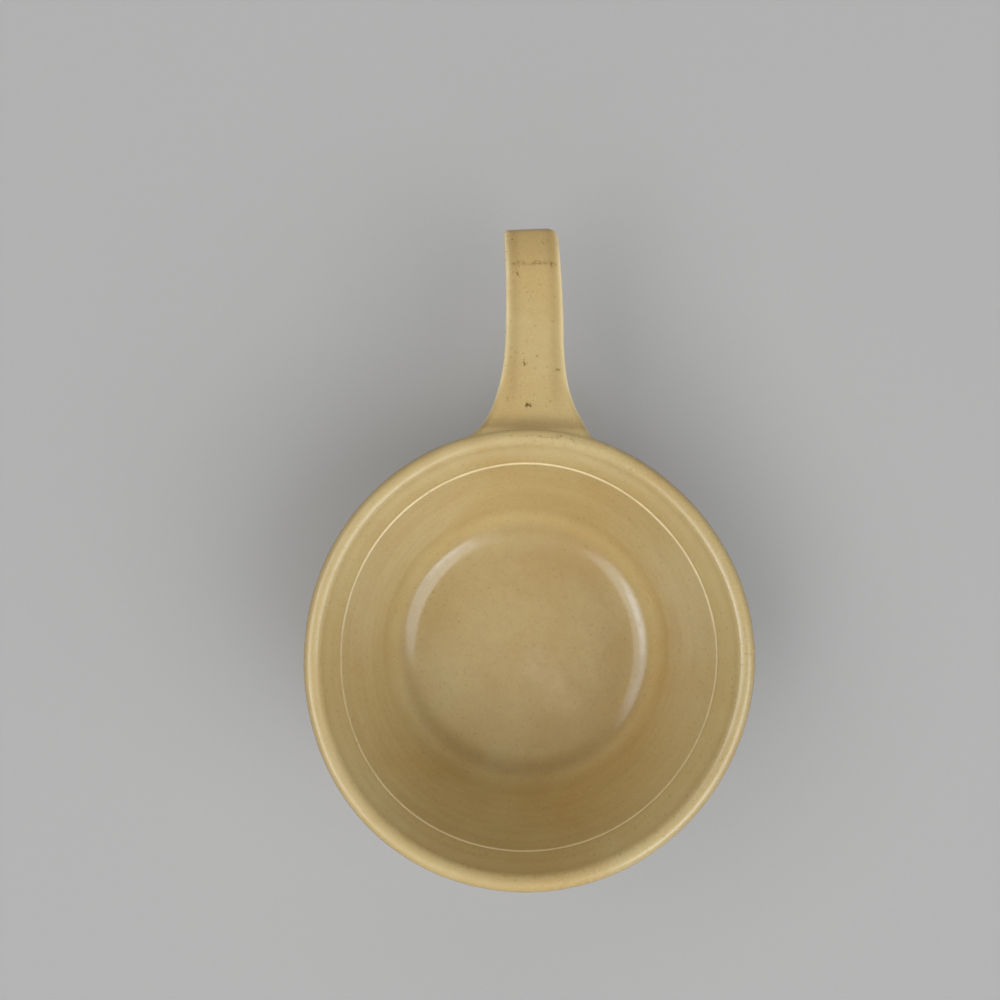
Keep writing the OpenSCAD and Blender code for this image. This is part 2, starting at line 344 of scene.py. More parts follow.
# A first small share of the path along the wall, which gives the direction it starts in, and the
# share of the flare over which the curve lifts off that direction
FIRST_SHARE, LIFT_OVER = 0.02, 0.35


def lengths(vectors):
    return np.linalg.norm(vectors, axis=1)


def wall_behind(neck):
    """Where the wall lies level with each point of the neck, as its turn and its way."""
    rows = SHEETS[0.0][TOP_ROW:]
    widest = np.argmax(rows[:, 0])
    low = np.interp(-neck[:, 2], -rows[widest:, 1], WAY[widest:])
    high = np.interp(-neck[:, 2], -rows[:widest + 1, 1], WAY[:widest + 1])
    way = np.where(neck[:, 2] > rows[widest, 1], high, low)
    r = np.interp(way, WAY, rows[:, 0])
    return np.degrees(np.arcsin(neck[:, 0] / r)), way


def flare(g):
    """Rings from the root's outline, where they leave the wall smoothly, out to the neck."""
    neck = ring(0, g)
    meet_turn, meet_way = wall_behind(neck)
    turn, way = to_turn(ROOT)
    foot = on_wall(turn, way, g)
    below = smoothstep(*TOP_TO_LOW, PLACE)
    hold_on = mix(TOP_HOLD, WALL_HOLD, below)
    lie_turn = mix(turn, meet_turn, hold_on)
    lie_way = mix(way, meet_way, hold_on)
    reach = lengths(on_wall(lie_turn, lie_way, g) - foot)
    near_turn = mix(turn, lie_turn, FIRST_SHARE)
    near = on_wall(near_turn, mix(way, lie_way, FIRST_SHARE), g) - foot
    near /= np.maximum(lengths(near), 1e-9)[:, None]
    tangent = foot + near * reach[:, None]
    lifted = on_wall(lie_turn, lie_way, g, mix(TOP_LIFT, WALL_LIFT, below) * reach)
    behind = on_wall(meet_turn, meet_way, g)
    clear = np.maximum(SHANK_HOLD * lengths(behind - foot), RAMP_L * (1 - below))
    hold = neck.copy()
    hold[:, 1] = behind[:, 1] + clear
    rings = []
    for j in range(1, FLARE_STEPS):
        t = j / FLARE_STEPS
        start = mix(tangent, lifted, smoothstep(0, LIFT_OVER, t))
        rings.append(bezier(foot, start, hold, neck, t))
    return rings


def tip(g):
    """Rings round the end of the handle and over its face, to just short of the middle."""
    rings = []
    r = TIP_R - g
    for j in range(1, TIP_STEPS + 1):
        a = math.pi / 2 * j / TIP_STEPS
        back = 1 - math.cos(a)
        rings.append(ring(SPINE_L, g + r * back, r * math.sin(a), mix(1, END_EDGE, back)))
    middle = rings[-1].mean(0)
    rings += [mix(rings[-1], middle, j / CAP_STEPS) for j in range(1, CAP_STEPS)]
    return rings, middle


def handle_rings(g):
    """All rings of the handle from the root outwards, and the middle of its end."""
    bar = [ring(SPINE_L * j / SHANK_STEPS, g) for j in range(SHANK_STEPS + 1)]
    ends, middle = tip(g)
    return flare(g) + bar + ends, middle


# Warps that the potter and the kiln left: the bowl is a little out of round, its lip waves, the
# handle sways, and its end is cut a little askew. All pieces go through the same warps

# Waves round the bowl, each by its number, its cosine part and its sine part
ROUND_WARP = ((2, -0.60, 0.17), (3, 0.32, -0.08), (5, 0.10, 0.06))
# Waves of the lip, each by its number, its height and its phase
LIP_WAVES = ((2, 0.10, 0.7), (3, 0.08, 2.1), (7, 0.04, 4.0), (11, 0.025, 1.0))
# Heights, and radii from the axis, over which these warps grow from nothing
ROUND_GROWS, WAVES_GROW, INSIDE_GROWS = (8, 46), (35, 58), (10, 50)
# The handle's sway to the right at places along it, and how far these knots are smoothed
SWAY = ((62, 1.3), (68, 1.1), (75, 0.9), (88, 1.1), (97, 1.0), (106, 0.7), (115, 0.25), (124, -0.5))
SWAY_POINTS, SWAY_SOFT = 200, 20
# The sway takes in all that lies past the lip and within this half width
SWAY_GROWS, SWAY_HALF_W = (RIM_R - 5, RIM_R + 3), 26
# The skew of the handle's end, and its right corner, cut back from this place and rounded
END_GROWS = (TIP_Y - 9, TIP_Y + 1)
TIP_SKEW = 0.05
TIP_CORNER, TIP_CORNER_X, TIP_CORNER_R = 0.35, 3.5, 3.2


def kiln_push(x, y, z):
    """How far each point of the bowl is pushed outwards, and how far up."""
    r = np.hypot(x, y)
    a = np.arctan2(y, x)
    on_bowl = 1 - smoothstep(RIM_R, NECK_Y, r)
    inside = smoothstep(*INSIDE_GROWS, r)
    out = sum(c * np.cos(k * a) + s * np.sin(k * a) for k, c, s in ROUND_WARP)
    up = sum(h * np.cos(k * a + f) for k, h, f in LIP_WAVES)
    out = out * smoothstep(*ROUND_GROWS, z) * on_bowl * inside
    return out, up * smoothstep(*WAVES_GROW, z) * on_bowl * inside


def sway_at(y):
    knots = np.array(SWAY)
    fine = np.linspace(knots[0, 0], knots[-1, 0], SWAY_POINTS)
    padded = np.pad(np.interp(fine, *knots.T), SWAY_SOFT, "edge")
    count = 2 * SWAY_SOFT + 1
    return np.interp(y, fine, np.convolve(padded, np.ones(count) / count, "valid"))


def warped(p):
    """The points of a piece, moved by all the warps."""
    p = np.array(p, float)
    x, y, z = p.T.copy()
    r = np.maximum(np.hypot(x, y), 1)
    out, up = kiln_push(x, y, z)
    p[:, 0] += out * x / r
    p[:, 1] += out * y / r
    p[:, 2] += up
    beyond_lip = smoothstep(*SWAY_GROWS, np.where(np.abs(x) < SWAY_HALF_W, y, 0))
    p[:, 0] += beyond_lip * sway_at(y)
    end = smoothstep(*END_GROWS, y)
    to_right = np.clip((x - TIP_CORNER_X) / (TIP_W / 2 - TIP_CORNER_X), 0, 1)
    p[:, 1] += end * TIP_SKEW * x
    p[:, 1] -= end * TIP_CORNER * to_right ** 2
    into = np.clip((y - RIM_R - HANDLE_REACH) / TIP_CORNER_R + 1, 0, 0.9)
    cut = TIP_CORNER_R * (1 - np.sqrt(1 - into ** 2))
    p[:, 0] -= cut * (np.clip(x, 0, None) / (TIP_W / 2)) ** 2
    return p


# Fine relief on the finished glaze: slow unevenness, soft throwing rings and tool marks

# Unevenness, by its height, its size and the seed of its noise
UNEVEN = ((0.02, 22, 3), (0.012, 9, 5))
# Throwing rings, each by its waves in 100 mm of way, its height and its phase
THROW_RINGS = ((9.0, 0.035, 5.24), (23.0, 0.016, 3.44), (37.0, 0.005, 5.04), (51.0, 0.002, 1.06))
# How far the throwing rings wander in phase, with the size and the seed of that noise
RING_WANDER = (0.2, 60, 9)
# Tool marks, each by its way from the middle of the floor, its height and its width
TOOL_RINGS = ((32.2, -0.010, 0.9), (42.5, -0.018, 1.0), (45.5, 0.015, 1.1))


def uneven(p, height, size, seed):
    """A smooth field from a few sines, the same each run."""
    rng = np.random.default_rng(seed)
    out = np.zeros(len(p))
    for _ in range(10):
        direction = rng.normal(size=3)
        direction /= np.linalg.norm(direction)
        wave_length = size * rng.uniform(0.7, 1.6)
        phase = rng.uniform(0, 6.28)
        out += np.sin(p @ direction * 2 * math.pi / wave_length + phase)
    return height * (out / math.sqrt(10))


def bump_at(x, centre, width):
    return np.exp(-((x - centre) / width) ** 2)


def relief(p, way):
    """How far each point of the finished glaze stands out along its normal."""
    out = sum(uneven(p, *row) for row in UNEVEN)
    wander = uneven(p, *RING_WANDER)
    thrown = sum(h * np.sin(2 * math.pi * way / 100 * k + f + wander) for k, h, f in THROW_RINGS)
    return out + (thrown + sum(h * bump_at(way, at, w) for at, h, w in TOOL_RINGS))


# Meshes

def quads(a, b, c, d):
    return np.stack([a, b, c, d], -1).reshape(-1, 4)


# The bowl's columns, as angles from the handle's middle, and how far each looks ahead and right
TURNS = np.radians(np.arange(COLUMNS) * 360 / COLUMNS)
AHEAD, RIGHT = np.cos(TURNS), np.sin(TURNS)


def turned(rows):
    """Rows of [radius, height] as a grid of points round the bowl's axis."""
    r, z = rows.T[:, :, None]
    return np.stack([r * RIGHT, r * AHEAD, np.broadcast_to(z, (len(rows), COLUMNS))], -1).reshape(-1, 3)


# The points of the glaze coat: the middle of the floor, the bowl's grid, the patch between the
# hole in that grid and the root, the handle's rings, and the middle of its end

GRID = 1 + np.arange((len(SKIN) - 1) * COLUMNS).reshape(-1, COLUMNS)
BOWL_COUNT = 1 + GRID.size

# The way along the skin from the middle of the floor, and where on it the lip's top and the
# turned line are
SKIN_WAY = way_along(SKIN)
LIP_WAY = SKIN_WAY[TOP_ROW]
LINE_WAY = SKIN_WAY[np.argmin(np.hypot(SKIN[:, 0] - LINE_R, SKIN[:, 1] - LINE_Z))]


def patch_ring(step):
    """The patch's ring at a step from the hole's edge to the root, as [x, way]."""
    return mix(LOOP_WAYS, ROOT, step / PATCH_STEPS)


def patch_way(step):
    """The way along the skin from the middle of the floor, on the patch's ring at a step."""
    return LIP_WAY + patch_ring(step)[:, 1]


def coat_points(g):
    """The points of one face of the coat, g under the finished glaze."""
    rows = SHEETS[g]
    patch = [on_wall(*to_turn(patch_ring(j)), g) for j in range(1, PATCH_STEPS + 1)]
    rings, middle = handle_rings(g)
    return np.vstack([[[0, 0, rows[0, 1]]], turned(rows[1:]), *patch, *rings, [middle]])


def coat_faces():
    """The quads of one face of the coat, with the triangles round its two middles."""
    n = len(LOOP)
    after = np.roll(GRID, -1, 1)
    keep = np.ones((len(GRID) - 1, COLUMNS), bool)
    hole = np.arange(-HOLE_TURN, HOLE_TURN) % COLUMNS
    keep[FIRST - 1:LAST - 1, hole] = False
    body = quads(GRID[:-1], GRID[1:], after[1:], after[:-1])[keep.ravel()]
    loop = np.array([GRID[i - 1, t % COLUMNS] for i, t in LOOP])
    last = BOWL_COUNT + (PATCH_STEPS + RINGS) * n
    rings = np.vstack([loop, np.arange(BOWL_COUNT, last).reshape(-1, n)])
    nxt = np.roll(rings, -1, 1)
    arm = quads(rings[:-1], rings[1:], nxt[1:], nxt[:-1])
    end = [[rings[-1, k], last, nxt[-1, k]] for k in range(n)]
    pole = [[0, GRID[0, k], after[0, k]] for k in range(COLUMNS)]
    return [f[::-1] for f in [*body.tolist(), *arm.tolist(), *end, *pole]]


def facing_out(points, faces):
    """The faces of a closed skin, turned over if they face inwards."""
    corner = np.array([f if len(f) == 4 else [*f, f[2]] for f in faces])
    a, b, c, d = (points[corner[:, k]] for k in range(4))
    volume = (a * np.cross(b, c)).sum() + (a * np.cross(c, d)).sum()
    return faces if volume > 0 else [f[::-1] for f in faces]


def vertex_normals(points, faces):
    normal = np.zeros_like(points)
    quad = np.array([f if len(f) == 4 else [*f, f[0]] for f in faces])
    a = points[quad[:, 2]] - points[quad[:, 0]]
    b = points[quad[:, 3]] - points[quad[:, 1]]
    for k in range(4):
        np.add.at(normal, quad[:, k], np.cross(a, b))
    return normal / np.maximum(lengths(normal), 1e-12)[:, None]


def make_piece(name, points, faces, material, nodes, attributes=None):
    mesh = bpy.data.meshes.new(name)
    mesh.from_pydata((np.asarray(points) * MM).tolist(), [], faces)
    mesh.polygons.foreach_set("use_smooth", [True] * len(mesh.polygons))
    for key, values in (attributes or {}).items():
        layer = mesh.attributes.new(key, "FLOAT", "POINT")
        layer.data.foreach_set("value", np.asarray(values, np.float32))
    mesh.materials.append(material)
    mesh.update()
    piece = bpy.data.objects.new(name, mesh)
    bpy.context.scene.collection.objects.link(piece)
    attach(piece, "root")
    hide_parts(*nodes)


# Two values at each point of the coat set its colour. Edge is how pale the glaze breaks where it
# is thin, and it also carries painted highlights. Pool is how brown the glaze lies where it is
# thick, and it also carries painted shade

# Bumps of edge or pool along the skin, each by its height, its way and its width. The line's edge
# is the glaze breaking thin on the turned line, with painted light on it; its halo and the band's
# light are painted light. The line's pool is glaze pooled under its step, with painted shade in
# that groove. The cove's bump makes the lip's outside darker. The bend's pool is glaze pooled in
# the bend, the crescent is painted shade in the bend on the side away from the handle, and the
# lip's band is painted shade over the lip
LINE_EDGE = (1.0, LINE_WAY + 0.05, 0.4)
LINE_LIGHT_HALO = (1.0, LINE_WAY + 0.1, 0.9)
BAND_LIGHT = (0.12, LIP_WAY - 5.5, 3.2)
LINE_POOL_AND_SHADE = (0.5, LINE_WAY + LINE_W + 0.25, 0.3)
COVE_DARKER = (0.75, LIP_WAY + 3.2, 1.2)
BEND_POOL = (0.3, FLOOR_R + 5.5, 3.0)
CRESCENT_SHADE = (0.3, FLOOR_R + 8.0, 4.5)
LIP_SHADE_BAND = (1.0, LIP_WAY - 0.5, 3.5)
# Away from the handle the turned line gets less painted light, painted shade and a faint wide
# painted halo, and near the handle the band above the line gets more painted light
LINE_DIM, LINE_SHADE, HALO_LIGHT_SHARE, BAND_LIGHT_NEAR = 0.1, 0.28, 0.2, 1.5
# The floor's pool, the ways between which it fades, and how much more of it lies to the right
FLOOR_POOL, FLOOR_POOL_FADES, FLOOR_POOL_RIGHT = 0.45, (FLOOR_R + 12, FLOOR_R - 4), 0.35
# Painted shade on the lip, more of it on the lip's right and less at its front
LIP_SHADE, LIP_SHADE_BY_SIDE = 0.15, 0.13
# The patch's pool fades by this share towards the root
PATCH_FADE = 0.6

# The painted highlight along the handle's edges, over the glaze breaking thin there: its width,
# its strength, and its share at the root. It follows the highest point this near to the widest
# place, and above this corner place
EDGE_W, EDGE_STRENGTH, EDGE_AT_ROOT = 0.95, 1.7, 0.9
EDGE_NEAR_WIDEST, EDGE_ABOVE_PLACE = 0.06, 3.4
# On the handle, bumps over the corner places: the pale lower corner and painted shade beside the
# upper one, each by its height, its place and its width
LOW_CORNER_EDGE = (0.5, 3.5, 0.6)
BESIDE_SHADE = (0.3, 0.78, 0.2)
# Bumps along the handle: the pale rim of its end, placed by ring, and painted shade along its
# root, placed by the share of the flare
END_RIM_EDGE = (0.35, END_RING + 3, 3.0)
ROOT_SHADE = (0.3, 0.12, 0.22)
# Painted shade towards the handle's end, and how much of the end's own painted shade its face
# lacks
TIP_SHADE, FACE_LACKS = 0.24, 0.6
# Painted shade in the corner between the handle's top and the lip: its depth, its radius from the
# bowl's axis and its width
CORNER_SHADE, CORNER_SHADE_R, CORNER_SHADE_W = 0.55, 64.9, 2.4
# Painted shade at the very middle of the handle's end
END_MIDDLE_SHADE = 0.2
# Shares of the flare, and then rings, over which these grow or end
EDGE_GROWS, BESIDE_GROWS = (0.05, 0.3), (0.3, 0.7)
EDGE_ENDS = (END_RING - 2, END_RING + 4)
TIP_SHADE_GROWS = (END_RING - 28, END_RING - 12)
END_SHADE_GROWS = (END_RING - 3, END_RING + 3)
FACE_STARTS = (END_RING + 6, END_RING + 9)

# How far each column belongs to a side of the bowl
ALL_ROUND = np.ones(COLUMNS)
NEAR_HANDLE = smoothstep(-0.1, 0.9, AHEAD)
LOW_SIDE = smoothstep(0.3, -0.8, AHEAD)
FRONT = smoothstep(0.5, 0.95, -AHEAD)
RIGHT_SIDE = smoothstep(0.2, 0.9, RIGHT)


def bump(x, height, centre, width):
    return height * bump_at(x, centre, width)


def row_bump(row):
    return bump(SKIN_WAY, *row)


def on_grid(by_row, by_turn, middle=0.0):
    """Values by row times values by turn, for the middle of the floor and the bowl's grid."""
    return np.r_[middle, (by_row[1:, None] * by_turn).ravel()]


def row_pool():
    """What goes all round: glaze pooled in the turned line with painted shade there, the darker cove,
    and glaze pooled in the bend.
    """
    return row_bump(LINE_POOL_AND_SHADE) + row_bump(COVE_DARKER) + row_bump(BEND_POOL)


def bowl_edge_and_light():
    # The turned line's glaze break, with painted light strongest near the handle, its painted halo away
    # from the handle, and painted light on the band above the line
    edge = on_grid(row_bump(LINE_EDGE), mix(LINE_DIM, 1.0, NEAR_HANDLE))
    edge += on_grid(row_bump(BAND_LIGHT), 1 + BAND_LIGHT_NEAR * NEAR_HANDLE)
    edge += on_grid(row_bump(LINE_LIGHT_HALO), HALO_LIGHT_SHARE * (1 - NEAR_HANDLE))
    return edge


def bowl_pool_and_shade():
    floor_pool = FLOOR_POOL * smoothstep(*FLOOR_POOL_FADES, SKIN_WAY)
    outwards = smoothstep(0, FLOOR_R, SKIN_WAY)[1:, None]
    lip_shade = LIP_SHADE + LIP_SHADE_BY_SIDE * RIGHT_SIDE - LIP_SHADE_BY_SIDE * FRONT
    # Glaze pools all round and on the floor, and painted shade in the crescent, on the turned line away
    # from the handle and over the lip
    pool = on_grid(row_pool(), ALL_ROUND)
    pool += on_grid(row_bump(CRESCENT_SHADE), LOW_SIDE)
    pool += on_grid(row_bump(LINE_EDGE), LINE_SHADE * (1 - NEAR_HANDLE))
    pool += on_grid(floor_pool, 1 + FLOOR_POOL_RIGHT * outwards * RIGHT, floor_pool[0])
    pool += on_grid(row_bump(LIP_SHADE_BAND), lip_shade)
    return pool


def edge_of_ring(ring_points):
    """How near each point of a ring is to its outermost line as seen from above, from 0 to 1."""
    near = np.zeros(len(ring_points))
    for side in (-1, 1):
        out = side * ring_points[:, 0]
        widest = (out > out.max() - EDGE_NEAR_WIDEST) & (PLACE < EDGE_ABOVE_PLACE)
        if widest.any():
            height = np.where(widest, ring_points[:, 2], -np.inf)
            away = lengths(ring_points - ring_points[np.argmax(height)])
            near = np.maximum(near, bump_at(away, 0.0, EDGE_W))
    return near


def handle_edge_and_highlight(j, ring_points):
    # Painted highlight along the handle's edges over their thin glaze, with the pale lower corner and
    # the pale rim of the end
    grown = smoothstep(*EDGE_GROWS, j / FLARE_STEPS)
    before_end = 1 - smoothstep(*EDGE_ENDS, j)
    edge = EDGE_STRENGTH * edge_of_ring(ring_points) * mix(EDGE_AT_ROOT, 1.0, grown)
    low_corner = bump(PLACE, *LOW_CORNER_EDGE) * grown
    return (edge + low_corner) * before_end + bump(j, *END_RIM_EDGE)


def handle_shade(j):
    # Painted shade along the root, towards the end, over the end and beside the upper corners
    along = j / FLARE_STEPS
    nearing_end = TIP_SHADE * smoothstep(*TIP_SHADE_GROWS, j)
    on_end = smoothstep(*END_SHADE_GROWS, j) * (1 - FACE_LACKS * smoothstep(*FACE_STARTS, j))
    beside = bump(PLACE, *BESIDE_SHADE) * smoothstep(*BESIDE_GROWS, along)
    return bump(along, *ROOT_SHADE) + nearing_end + on_end + beside


def corner_shade(points):
    # Painted shade in the corner where the handle's top meets the lip
    on_top = smoothstep(TOP_Z - 3, TOP_Z - 0.8, points[:, 2])
    on_top = on_top * smoothstep(RIM_R - 1, RIM_R + 0.5, points[:, 1])
    r = np.hypot(points[:, 0], points[:, 1])
    return CORNER_SHADE * on_top * bump_at(r, CORNER_SHADE_R, CORNER_SHADE_W)


def patch_pool(step):
    """What goes all round, glaze pools with painted shade in the turned line, fading over the patch
    towards the root.
    """
    fade = 1 - PATCH_FADE * step / PATCH_STEPS
    return np.interp(patch_way(step), SKIN_WAY, row_pool()) * fade


def edge_and_pool(points):
    """Edge and pool, with their painted highlights and painted shade, at each point of the coat's
    finished face.
    """
    n = len(LOOP)
    rings = points[BOWL_COUNT + PATCH_STEPS * n:-1].reshape(RINGS, n, 3)
    edges = [bowl_edge_and_light(), np.zeros(PATCH_STEPS * n), *map(handle_edge_and_highlight, range(RINGS), rings), [0.0]]
    pools = [bowl_pool_and_shade(), *map(patch_pool, range(1, PATCH_STEPS + 1))]
    pools += [*map(handle_shade, range(RINGS)), [END_MIDDLE_SHADE]]
    return np.concatenate(edges), np.concatenate(pools) + corner_shade(points)


def relief_ways():
    """The way at each point of the coat, held still over the handle."""
    patch = map(patch_way, range(1, PATCH_STEPS + 1))
    handle = np.full(RINGS * len(LOOP) + 1, LIP_WAY + 3.0)
    return np.concatenate([on_grid(SKIN_WAY, ALL_ROUND), *patch, handle])


def glaze_coat(material):
    """The whole glaze coat as a thin closed shell: its finished face, its face on the clay,
    and the narrow edge at the dry foot."""
    outer = coat_points(0.0)
    inner = coat_points(GLAZE_T)
    faces = coat_faces()
    edge, pool = edge_and_pool(outer)
    above_foot = smoothstep(DRY_H + 0.1, DRY_H + 2, outer[:, 2])
    stands_out = relief(outer, relief_ways()) * above_foot
    outer = outer + vertex_normals(outer, faces) * stands_out[:, None]
    points = warped(np.vstack([outer, inner]))
    n = len(outer)
    rim = GRID[-1]
    nxt = np.roll(rim, -1)
    shell = faces + [[v + n for v in f[::-1]] for f in faces]
    shell += quads(rim, nxt, nxt + n, rim + n).tolist()
    # Edge carries painted highlights and pool carries painted shade, along with the glaze's own breaks
    # and pools
    both = {"edge": np.r_[edge, edge * 0], "pool": np.r_[pool, pool * 0]}
    nodes = ["bowl_glaze", "handle_glaze"]
    make_piece("glaze_coat", points, shell, material, nodes, both)


def lofted(first, rings, last):
    """A closed skin over rings of equal count, from a first point to a last one."""
    n = len(rings[0])
    points = np.vstack([first, *rings, last])
    g = 1 + np.arange(len(rings) * n).reshape(-1, n)
    after = np.roll(g, -1, 1)
    faces = quads(g[:-1], g[1:], after[1:], after[:-1]).tolist()
    faces += [[0, g[0, k], after[0, k]] for k in range(n)]
    end = len(points) - 1
    faces += [[g[-1, k], end, after[-1, k]] for k in range(n)]
    return points, facing_out(points, faces)


def revolved(path):
    """A closed solid of revolution from an outline that starts and ends on the axis."""
    rings = turned(path[1:-1]).reshape(-1, COLUMNS, 3)
    return lofted([[0, 0, path[0, 1]]], rings, [[0, 0, path[-1, 1]]])


def foot_outline():
    """The dry foot ring, from the glaze line outside to where the recess's glaze starts."""
    out_r = FOOT_R - GLAZE_T
    return joined(
        straight([out_r, DRY_H], [out_r, FOOT_EDGE_R], 0.4),
        arc([out_r - FOOT_EDGE_R, FOOT_EDGE_R], FOOT_EDGE_R, 0, -90, 0.15),
        straight([out_r - FOOT_EDGE_R, 0], [FOOT_IN_R + FOOT_EDGE_R, 0], 0.4),
        arc([FOOT_IN_R + FOOT_EDGE_R, FOOT_EDGE_R], FOOT_EDGE_R, -90, -180, 0.15),
        straight([FOOT_IN_R, FOOT_EDGE_R], [FOOT_IN_R, DRY_H], 0.4),
    )


def base_outline():
    """The clay of the recess under the base, from the dry foot to the middle."""
    return joined(
        straight([FOOT_IN_R, DRY_H], [FOOT_IN_R, FOOT_H - RECESS_R], 0.3),
        arc([FOOT_IN_R - RECESS_R, FOOT_H - RECESS_R], RECESS_R, 0, 90, 0.15),
        straight([FOOT_IN_R - RECESS_R, FOOT_H], [0, FOOT_H], STEP_FLOOR),
    )


# The foot's wear and the wave of the recess's glaze, each by its height, its size and its seed
FOOT_WEAR = (0.05, 6, 21)
PATCH_WAVE = (0.12, 9, 31)


def clay_bowl(material):
    """The clay bowl. Its foot's flat face stays flat, and its edges are a little worn."""
    path = joined(SHEETS[GLAZE_T], foot_outline(), base_outline())
    points, faces = revolved(path)
    z = points[:, 2]
    worn = uneven(points, *FOOT_WEAR) * (smoothstep(0.05, 0.5, z) * smoothstep(DRY_H, DRY_H - 0.4, z))
    r = np.maximum(np.hypot(points[:, 0], points[:, 1]), 1)
    points[:, 0] += worn * points[:, 0] / r
    points[:, 1] += worn * points[:, 1] / r
    make_piece("clay_bowl", warped(points), faces, material, ["bowl_body"])


def base_patch(material):
    """The glaze in the recess, thin at its wavy edge."""
    path = base_outline()
    under = drawn_in(path, -GLAZE_T, 0.3)
    thin = smoothstep(0, 1.2, way_along(path))[:, None]
    under = mix(path, under, 0.25 + 0.75 * thin)
    under[-1, 0] = 0
    points, faces = revolved(joined(path[::-1], under))
    points[:, 2] += uneven(points, *PATCH_WAVE) * bump_at(points[:, 2], DRY_H, 0.5)
    make_piece("base_patch", warped(points), faces, material, ["base_glaze"])


def cap_rings(g, slip, steps=10):
    """Rings that fill the root's outline, raised off the clay by the slip where there is any."""
    rings = []
    for j in range(1, steps):
        t = j / steps
        lift = slip * SLIP_T * (1 - (1 - t) ** 4)
        rings.append(on_wall(*to_turn(mix(ROOT, ROOT_MID, t)), g, lift))
    middle = on_wall(np.zeros(1), np.full(1, ROOT_MID[1]), g, slip * SLIP_T)
    return rings, middle


def clay_handle(material):
    caps, middle = cap_rings(GLAZE_T, 1)
    rings, end = handle_rings(GLAZE_T)
    edge = on_wall(*to_turn(ROOT), GLAZE_T)
    points, faces = lofted(middle, caps[::-1] + [edge] + rings, [end])
    make_piece("clay_handle", warped(points), faces, material, ["handle"])


def root_slip(material):
    low, low_mid = cap_rings(GLAZE_T, 0)
    high, high_mid = cap_rings(GLAZE_T, 1)
    edge = on_wall(*to_turn(ROOT), GLAZE_T)
    points, faces = lofted(low_mid, low[::-1] + [edge] + high, high_mid)
    make_piece("root_slip", warped(points), faces, material, ["handle_slip"])


# Materials

class Nodes:
    """A short way to write a material's nodes."""

    def __init__(self, name):
        self.material = bpy.data.materials.new(name)
        self.material.use_nodes = True
        self.tree = self.material.node_tree
        self.tree.nodes.clear()
        self.output = self.tree.nodes.new("ShaderNodeOutputMaterial")

    def add(self, kind, inputs=None, **settings):
        node = self.tree.nodes.new("ShaderNode" + kind)
        for key, value in settings.items():
            setattr(node, key, value)
        for key, value in (inputs or {}).items():
            self.plug(node.inputs[key], value)
        return node

    def plug(self, socket, value):
        if isinstance(value, bpy.types.NodeSocket):
            self.tree.links.new(value, socket)
        else:
            socket.default_value = value

    def math(self, operation, a, b=0.0, clamp=False):
        return self.add("Math", {0: a, 1: b}, operation=operation, use_clamp=clamp).outputs[0]

    def plus(self, a, b):
        return self.math("ADD", a, b)

    def minus(self, a, b):
        return self.math("SUBTRACT", a, b)

    def times(self, a, b, clamp=False):
        return self.math("MULTIPLY", a, b, clamp)

    def most(self, a, b):
        return self.math("MAXIMUM", a, b)

    def noise(self, vector, scale, detail=2.0, rough=0.5, distort=0.0):
        inputs = {"Vector": vector, "Scale": scale, "Detail": detail}
        inputs |= {"Roughness": rough, "Distortion": distort}
        return self.add("TexNoise", inputs).outputs["Fac"]

    def span(self, value, low, high, to_low=0.0, to_high=1.0):
        inputs = {"Value": value, "From Min": low, "From Max": high}
        inputs |= {"To Min": to_low, "To Max": to_high}
        return self.add("MapRange", inputs, interpolation_type="SMOOTHSTEP").outputs["Result"]

    def blend(self, share, a, b):
        return self.add("Mix", {0: share, 6: a, 7: b}, data_type="RGBA").outputs[2]

    def attribute(self, name):
        return self.add("Attribute", attribute_name=name).outputs["Fac"]

    def split(self, vector):
        return self.add("SeparateXYZ", {0: vector}).outputs

    def distance(self, x, y, to_x=0.0, to_y=0.0):
        """The distance, seen from above, from a place given in millimetres."""
        dx = self.minus(x, to_x * MM)
        dy = self.minus(y, to_y * MM)
        return self.math("SQRT", self.plus(self.times(dx, dx), self.times(dy, dy)))


def colour(r, g, b):
    """An sRGB colour from 0 to 255 as the linear one that a shader takes."""
    linear = [
        ((c + 0.055) / 1.055) ** 2.4 if c > 0.04045 else c / 12.92 for c in (r / 255, g / 255, b / 255)
    ]
    return (*linear, 1.0)


STRAW = colour(195, 177, 129)
STRAW_LIGHT = colour(222, 206, 160)
# Cream is the colour of the pale edges and of their painted highlights
CREAM = colour(238, 222, 180)
HONEY = colour(186, 160, 107)
# Umber is the colour of the brown pools and of their painted shade, and of the dark grain
UMBER = colour(124, 98, 61)
STAIN = colour(96, 76, 44)
PIT = colour(98, 74, 36)
HAZE = colour(196, 172, 142)
CLAY = colour(196, 178, 150)
CLAY_DARK = colour(150, 128, 98)
SLIP = colour(172, 150, 118)


# Marks of making and use that the photograph shows, in millimetres

# Open pits in the handle's glaze, as x, y, radius and depth of colour
PITS = (
    (-0.7, 70.8, 1.05, 0.9), (-1.9, 83.1, 0.75, 0.9), (7.8, 81.3, 0.6, 0.6), (1.7, 85.2, 0.5, 0.5),
    (5.7, 72.1, 0.45, 0.5), (-6.6, 72.7, 0.6, 0.3), (-4.3, 86.3, 0.5, 0.3),
)
# A faint stained line across the handle: its place along it, its sway and the radians of that
# sway in a metre, its half width, and its ends
STAIN_Y, STAIN_SWAY, STAIN_TURNS, STAIN_W = 112.6, 0.4, 620.0, 0.75
STAIN_FROM, STAIN_TO = -5.6, 6.4
# Clusters of small dark specks near the handle's end, as x, y and reach
TIP_SPECKS = (
    (-5.8, 119.2, 1.5), (3.1, 119.3, 0.9), (-4.8, 112.8, 1.5), (-3.2, 112.3, 1.2),
    (4.6, 112.9, 1.4), (6.0, 112.2, 1.2), (-4.6, 109.2, 1.3),
)
